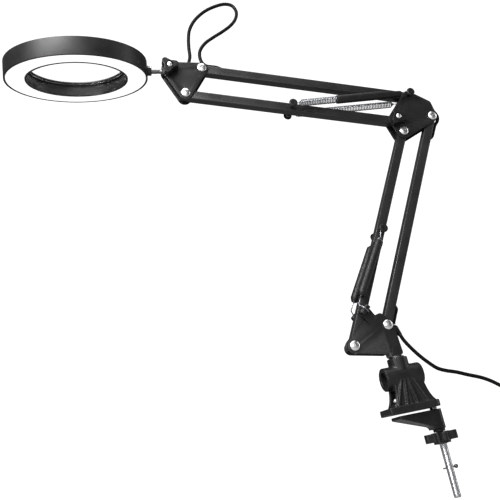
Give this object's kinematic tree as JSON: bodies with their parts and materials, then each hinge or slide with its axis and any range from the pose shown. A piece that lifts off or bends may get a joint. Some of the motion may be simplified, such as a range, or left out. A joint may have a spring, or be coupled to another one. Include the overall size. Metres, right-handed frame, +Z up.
{
  "type": "magnifying lamp",
  "caption": "Desk-clamped magnifying lamp: a lit ring with a round lens on a sprung two-part parallelogram arm, with friction knobs and a low-voltage lead.",
  "frame": {"origin": "where the arm's swivel axis meets the desk top, at the underside of the clamp's flange", "axes": "+Z up along the swivel axis, +X away from the desk so that the arm reaches back over it towards -X, and +Y across the arm, whose mid-plane is y = 0"},
  "size_m": [0.5277, 0.1601, 0.6161],
  "materials": {
    "black_paint": "satin black powder coat",
    "black_plastic": "fine matt moulded",
    "chrome": "bright plated",
    "steel": "bright zinc plated",
    "rubber": "soft satin",
    "opal": "opal diffusing",
    "board": "white solder mask",
    "clear": "polished clear"
  },
  "bodies": {
    "clamp": {"clamp_body": "black_plastic", "clamp_screw": "steel", "screw_stop_pin": "steel"},
    "jaw": {"clamp_jaw": "black_plastic"},
    "wing_knob": {"clamp_knob": "black_plastic", "knob_insert": "steel"},
    "base": {"base_plate_front": "black_paint", "base_plate_back": "black_paint", "base_spigot": "steel", "base_front_bolt": "chrome", "base_front_nut": "steel", "base_rear_bolt": "chrome", "base_rear_nut": "steel", "cord_relief": "rubber", "supply_cord": "rubber", "supply_cord_coil": "rubber", "cord_tie": "rubber", "plug_body": "rubber", "plug_shell": "steel"},
    "lower_front": {"lower_front_tube": "black_paint", "lower_spring_pin": "black_plastic", "lower_spring_front": "steel", "lower_spring_back": "steel", "lower_sleeve_front": "rubber", "lower_sleeve_back": "rubber"},
    "lower_rear": {"lower_rear_tube": "black_paint", "rear_tube_lead": "rubber"},
    "elbow": {"elbow_plate_front": "black_paint", "elbow_plate_back": "black_paint", "elbow_front_bolt": "chrome", "elbow_front_nut": "steel", "elbow_rear_bolt": "chrome", "elbow_rear_nut": "steel", "elbow_spring_pin": "black_plastic", "elbow_knob_stud": "chrome", "elbow_lead": "rubber"},
    "elbow_hand_knob": {"elbow_knob": "black_plastic"},
    "upper_low": {"upper_low_tube": "black_paint", "upper_spring_pin": "black_plastic", "upper_spring_front": "steel", "upper_spring_back": "steel", "upper_sleeve": "rubber"},
    "upper_top": {"upper_top_tube": "black_paint", "head_lead": "rubber"},
    "head_bracket": {"head_plate_front": "black_paint", "head_plate_back": "black_paint", "head_low_bolt": "chrome", "head_low_nut": "steel", "head_top_bolt": "chrome", "head_top_nut": "steel", "head_knob_stud": "chrome"},
    "head_hand_knob": {"head_knob": "black_plastic"},
    "head_arm": {"head_rod": "steel"},
    "ring": {"ring_housing": "black_plastic", "diffuser": "opal", "led_board": "board", "lens": "clear", "lens_retainer": "black_plastic", "ring_lug": "black_plastic", "lug_screw": "chrome"}
  },
  "joints": [
    {"name": "knob_spin", "type": "hinge", "parent": "jaw", "child": "wing_knob", "pos_m": [0.0254, 0, -0.0305], "axis": [0, 0, 1], "range_deg": [-5760, 540]},
    {"name": "jaw_slide", "type": "slide", "parent": "clamp", "child": "jaw", "axis": [0, 0, 1], "range_m": [-0.01999, 0.00187]},
    {"name": "swivel", "type": "hinge", "parent": "clamp", "child": "base", "pos_m": [0, 0, 0.04], "axis": [0, 0, 1], "range_deg": [-170, 170]},
    {"name": "lower_swing", "type": "hinge", "parent": "base", "child": "lower_front", "pos_m": [-0.0453, 0, 0.0773], "axis": [0, 1, 0], "range_deg": [-45, 22], "deforming": ["lower_spring_front", "lower_spring_back", "lower_sleeve_front", "lower_sleeve_back"]},
    {"name": "lower_rear_swing", "type": "hinge", "parent": "base", "child": "lower_rear", "pos_m": [-0.0027, 0, 0.0935], "axis": [0, 1, 0], "range_deg": [-45, 22], "deforming": ["rear_tube_lead"]},
    {"name": "elbow_level", "type": "hinge", "parent": "lower_front", "child": "elbow", "pos_m": [0.08211, 0, 0.32101], "axis": [0, 1, 0], "range_deg": [-22, 45], "deforming": ["elbow_lead"]},
    {"name": "elbow_knob_spin", "type": "hinge", "parent": "elbow", "child": "elbow_hand_knob", "pos_m": [0.07671, 0, 0.33711], "axis": [0, 1, 0], "continuous": true},
    {"name": "upper_swing", "type": "hinge", "parent": "elbow", "child": "upper_low", "pos_m": [0.07671, 0, 0.33711], "axis": [0, 1, 0], "range_deg": [-38, 40], "deforming": ["upper_spring_front", "upper_spring_back", "upper_sleeve"]},
    {"name": "upper_top_swing", "type": "hinge", "parent": "elbow", "child": "upper_top", "pos_m": [0.10161, 0, 0.36851], "axis": [0, 1, 0], "range_deg": [-38, 40]},
    {"name": "head_level", "type": "hinge", "parent": "upper_top", "child": "head_bracket", "pos_m": [-0.14593, 0, 0.42976], "axis": [0, 1, 0], "range_deg": [-40, 38], "deforming": ["head_lead"]},
    {"name": "head_knob_spin", "type": "hinge", "parent": "head_bracket", "child": "head_hand_knob", "pos_m": [-0.18423, 0, 0.43236], "axis": [0, 1, 0], "continuous": true},
    {"name": "head_tilt", "type": "hinge", "parent": "head_bracket", "child": "head_arm", "pos_m": [-0.18423, 0, 0.43236], "axis": [0, 1, 0], "range_deg": [-60, 60]},
    {"name": "ring_roll", "type": "hinge", "parent": "head_arm", "child": "ring", "pos_m": [-0.18423, 0, 0.43236], "axis": [-0.9966, 0, 0.0819], "range_deg": [-75, 75]}
  ],
  "couplings": [
    {"joint": "knob_spin", "follows": "jaw_slide", "rad_per_m": 5026.5},
    {"joint": "lower_rear_swing", "follows": "lower_swing", "ratio": 1},
    {"joint": "elbow_level", "follows": "lower_swing", "ratio": -1},
    {"joint": "upper_top_swing", "follows": "upper_swing", "ratio": 1},
    {"joint": "head_level", "follows": "upper_swing", "ratio": -1}
  ]
}
